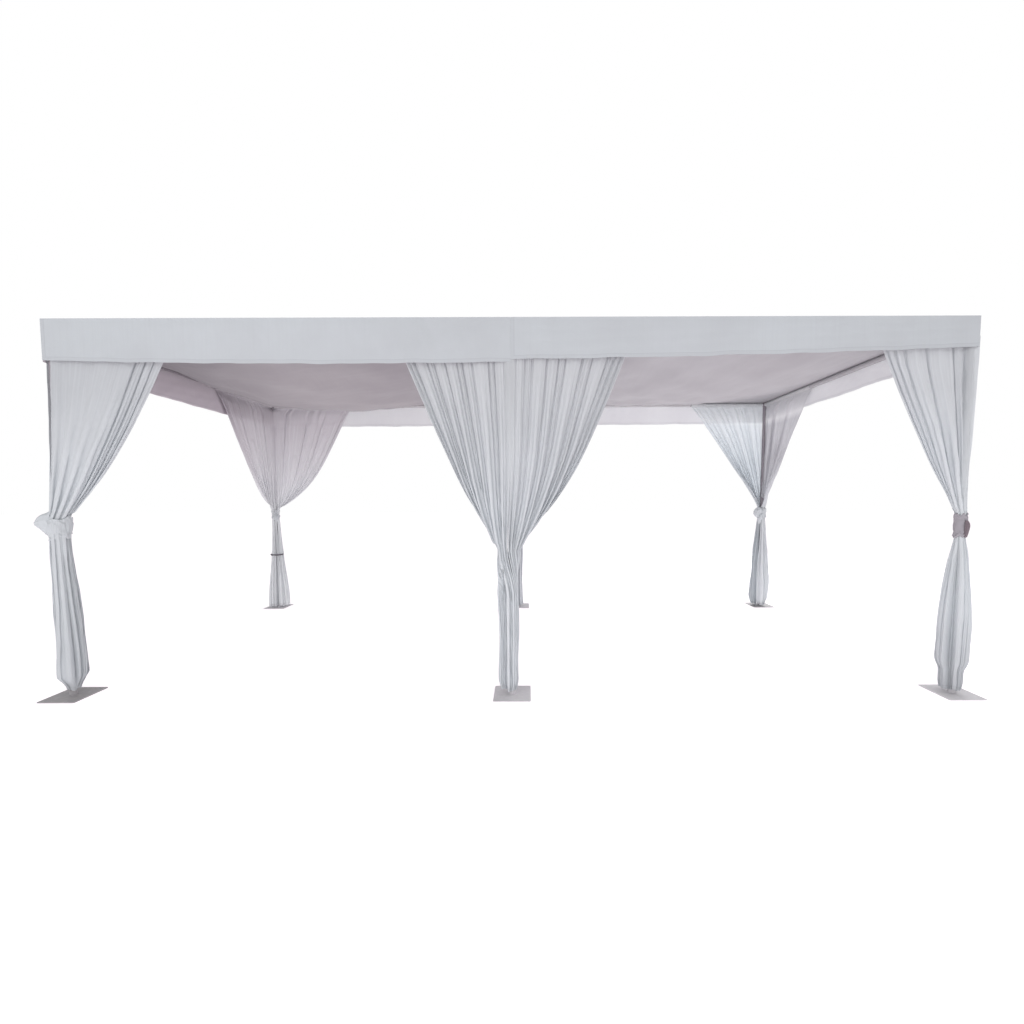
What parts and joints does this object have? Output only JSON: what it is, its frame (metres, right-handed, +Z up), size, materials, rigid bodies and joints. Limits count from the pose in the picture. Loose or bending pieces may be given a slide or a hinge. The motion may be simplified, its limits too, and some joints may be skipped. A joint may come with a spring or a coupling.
{
  "type": "two-bay draped cabana tent",
  "caption": "Flat-topped pipe-framed cabana tent with a slack roof cloth, deep valances and white curtains gathered and tied back at its posts",
  "frame": {"origin": "on the floor under the middle of the plan", "axes": "+X along the two bays to the right as seen from the front, +Y from the front to the back, +Z up"},
  "size_m": [7.625, 4.016, 3.05],
  "materials": {
    "plate_paint": "matt grey powder coat",
    "frame_tube": "satin mill finish",
    "cover_cloth": "plain woven polyester, matt",
    "curtain_cloth": "light crinkled voile, matt",
    "tie_cloth": "plain woven band, matt"
  },
  "bodies": {
    "root": {"base_plate_front_left": "plate_paint", "base_plate_front_middle": "plate_paint", "base_plate_front_right": "plate_paint", "base_plate_back_left": "plate_paint", "base_plate_back_middle": "plate_paint", "base_plate_back_right": "plate_paint", "upright_front_left": "frame_tube", "upright_front_middle": "frame_tube", "upright_front_right": "frame_tube", "upright_back_left": "frame_tube", "upright_back_middle": "frame_tube", "upright_back_right": "frame_tube", "rail_front_left": "frame_tube", "rail_front_right": "frame_tube", "rail_back_left": "frame_tube", "rail_back_right": "frame_tube", "rail_left_side": "frame_tube", "rail_right_side": "frame_tube", "rail_middle": "frame_tube", "roof_cloth_left": "cover_cloth", "roof_cloth_right": "cover_cloth", "valance_front_left": "cover_cloth", "valance_front_right": "cover_cloth", "valance_back_left": "cover_cloth", "valance_back_right": "cover_cloth", "valance_left_side": "cover_cloth", "valance_right_side": "cover_cloth", "curtain_front_left_front": "curtain_cloth", "curtain_front_left_side": "curtain_cloth", "curtain_front_middle_left": "curtain_cloth", "curtain_front_middle_right": "curtain_cloth", "curtain_front_right_front": "curtain_cloth", "curtain_front_right_side": "curtain_cloth", "curtain_back_left_back": "curtain_cloth", "curtain_back_left_side": "curtain_cloth", "curtain_back_middle_left": "curtain_cloth", "curtain_back_middle_right": "curtain_cloth", "curtain_back_right_back": "curtain_cloth", "curtain_back_right_side": "curtain_cloth", "tie_front_left": "tie_cloth", "tie_front_middle": "tie_cloth", "tie_front_right": "tie_cloth", "tie_back_left": "tie_cloth", "tie_back_left_lower": "tie_cloth", "tie_back_middle": "tie_cloth", "tie_back_right": "tie_cloth"}
  },
  "joints": []
}
